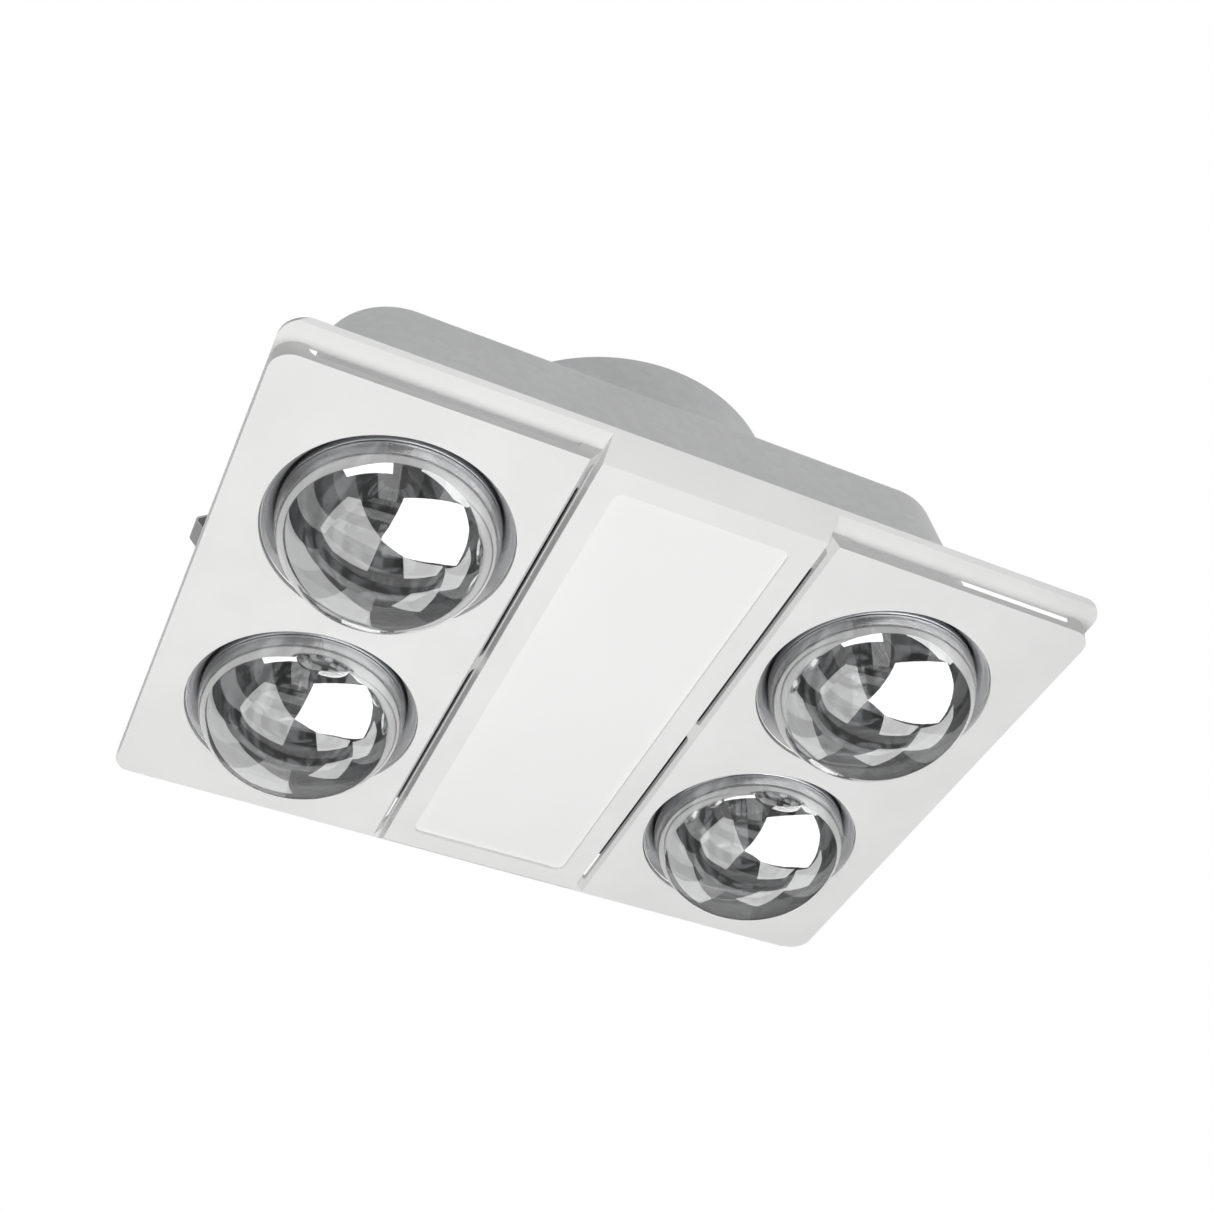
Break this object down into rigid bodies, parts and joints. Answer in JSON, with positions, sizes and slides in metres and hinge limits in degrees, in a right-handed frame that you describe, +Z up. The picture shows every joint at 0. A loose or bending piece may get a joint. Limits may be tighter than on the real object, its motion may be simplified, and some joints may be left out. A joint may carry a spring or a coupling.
{
  "type": "exhaust fan with light",
  "caption": "Ceiling bathroom unit with screw-in heat lamps, a central light panel, an exhaust fan drum and a ducted outlet with back-draught flaps.",
  "frame": {"origin": "centre of the four ceiling screws' pattern, on the ceiling plane", "axes": "+X along the fascia, +Y across it towards the duct spigot, +Z up into the roof space"},
  "size_m": [0.504, 0.4165, 0.2743],
  "materials": {
    "white_plastic": "satin",
    "opal": "opal, frosted",
    "tray_paint": "white paint",
    "board_white": "solder mask",
    "phosphor": "phosphor under silicone",
    "driver_case": "moulded",
    "galvanised": "galvanised sheet",
    "spring_steel": "bright spring steel",
    "clear_glass": "clear",
    "mirror_coat": "vapour-deposited mirror",
    "tungsten": "drawn wire",
    "cap_metal": "rolled thread shell",
    "ceramic": "glazed ceramic",
    "polished_collar": "polished",
    "impeller_plastic": "moulded",
    "motor_paint": "black enamel",
    "steel": "turned",
    "capacitor_case": "moulded",
    "flap_plastic": "moulded",
    "box_plastic": "moulded",
    "block_plastic": "moulded",
    "gland_plastic": "moulded nylon",
    "zinc": "zinc plated"
  },
  "bodies": {
    "unit": {"box_posts": "box_plastic", "cable_gland": "gland_plastic", "capacitor": "capacitor_case", "capacitor_clip": "galvanised", "case_screws": "zinc", "catch_bracket_left": "galvanised", "catch_bracket_right": "galvanised", "catch_pin_left": "steel", "catch_pin_right": "steel", "ceiling_lugs": "galvanised", "fan_drum": "galvanised", "fascia": "white_plastic", "fascia_clips": "spring_steel", "flap_pin": "steel", "holder_bracket_left": "galvanised", "holder_bracket_right": "galvanised", "housing": "galvanised", "inlet_ring": "galvanised", "lamp_far_left_cap": "cap_metal", "lamp_far_left_collar": "polished_collar", "lamp_far_left_filament": "tungsten", "lamp_far_left_front_glass": "clear_glass", "lamp_far_left_holder": "ceramic", "lamp_far_left_mirror_glass": "mirror_coat", "lamp_far_right_cap": "cap_metal", "lamp_far_right_collar": "polished_collar", "lamp_far_right_filament": "tungsten", "lamp_far_right_front_glass": "clear_glass", "lamp_far_right_holder": "ceramic", "lamp_far_right_mirror_glass": "mirror_coat", "lamp_near_left_cap": "cap_metal", "lamp_near_left_collar": "polished_collar", "lamp_near_left_filament": "tungsten", "lamp_near_left_front_glass": "clear_glass", "lamp_near_left_holder": "ceramic", "lamp_near_left_mirror_glass": "mirror_coat", "lamp_near_right_cap": "cap_metal", "lamp_near_right_collar": "polished_collar", "lamp_near_right_filament": "tungsten", "lamp_near_right_front_glass": "clear_glass", "lamp_near_right_holder": "ceramic", "lamp_near_right_mirror_glass": "mirror_coat", "led_board": "board_white", "led_chips": "phosphor", "led_diffuser": "opal", "led_driver": "driver_case", "led_tray": "tray_paint", "motor": "motor_paint", "motor_bracket": "galvanised", "outlet_duct": "galvanised", "terminal_block": "block_plastic", "terminal_box": "box_plastic", "terminal_lid": "box_plastic"},
    "fan_rotor": {"impeller": "impeller_plastic", "motor_shaft": "steel", "hub_nut": "steel"},
    "left_flap": {"flap_left": "flap_plastic"},
    "right_flap": {"flap_right": "flap_plastic"},
    "left_catch": {"catch_arm_left": "spring_steel"},
    "right_catch": {"catch_arm_right": "spring_steel"}
  },
  "joints": [
    {"name": "fan_spin", "type": "hinge", "parent": "unit", "child": "fan_rotor", "pos_m": [0, 0, 0.11], "axis": [0, 0, 1], "continuous": true},
    {"name": "left_flap_swing", "type": "hinge", "parent": "unit", "child": "left_flap", "pos_m": [0.04, 0.18, 0.168], "axis": [0, 0, -1], "range_deg": [0, 75], "stiffness_Nm_per_rad": 0.002},
    {"name": "right_flap_swing", "type": "hinge", "parent": "unit", "child": "right_flap", "pos_m": [0.04, 0.18, 0.168], "axis": [0, 0, 1], "range_deg": [0, 75], "stiffness_Nm_per_rad": 0.002},
    {"name": "left_catch_swing", "type": "hinge", "parent": "unit", "child": "left_catch", "pos_m": [-0.22592, 0.0048, 0.061], "axis": [0, 1, 0], "range_deg": [0, 85]},
    {"name": "right_catch_swing", "type": "hinge", "parent": "unit", "child": "right_catch", "pos_m": [0.22592, -0.0048, 0.061], "axis": [0, -1, 0], "range_deg": [0, 85]}
  ]
}
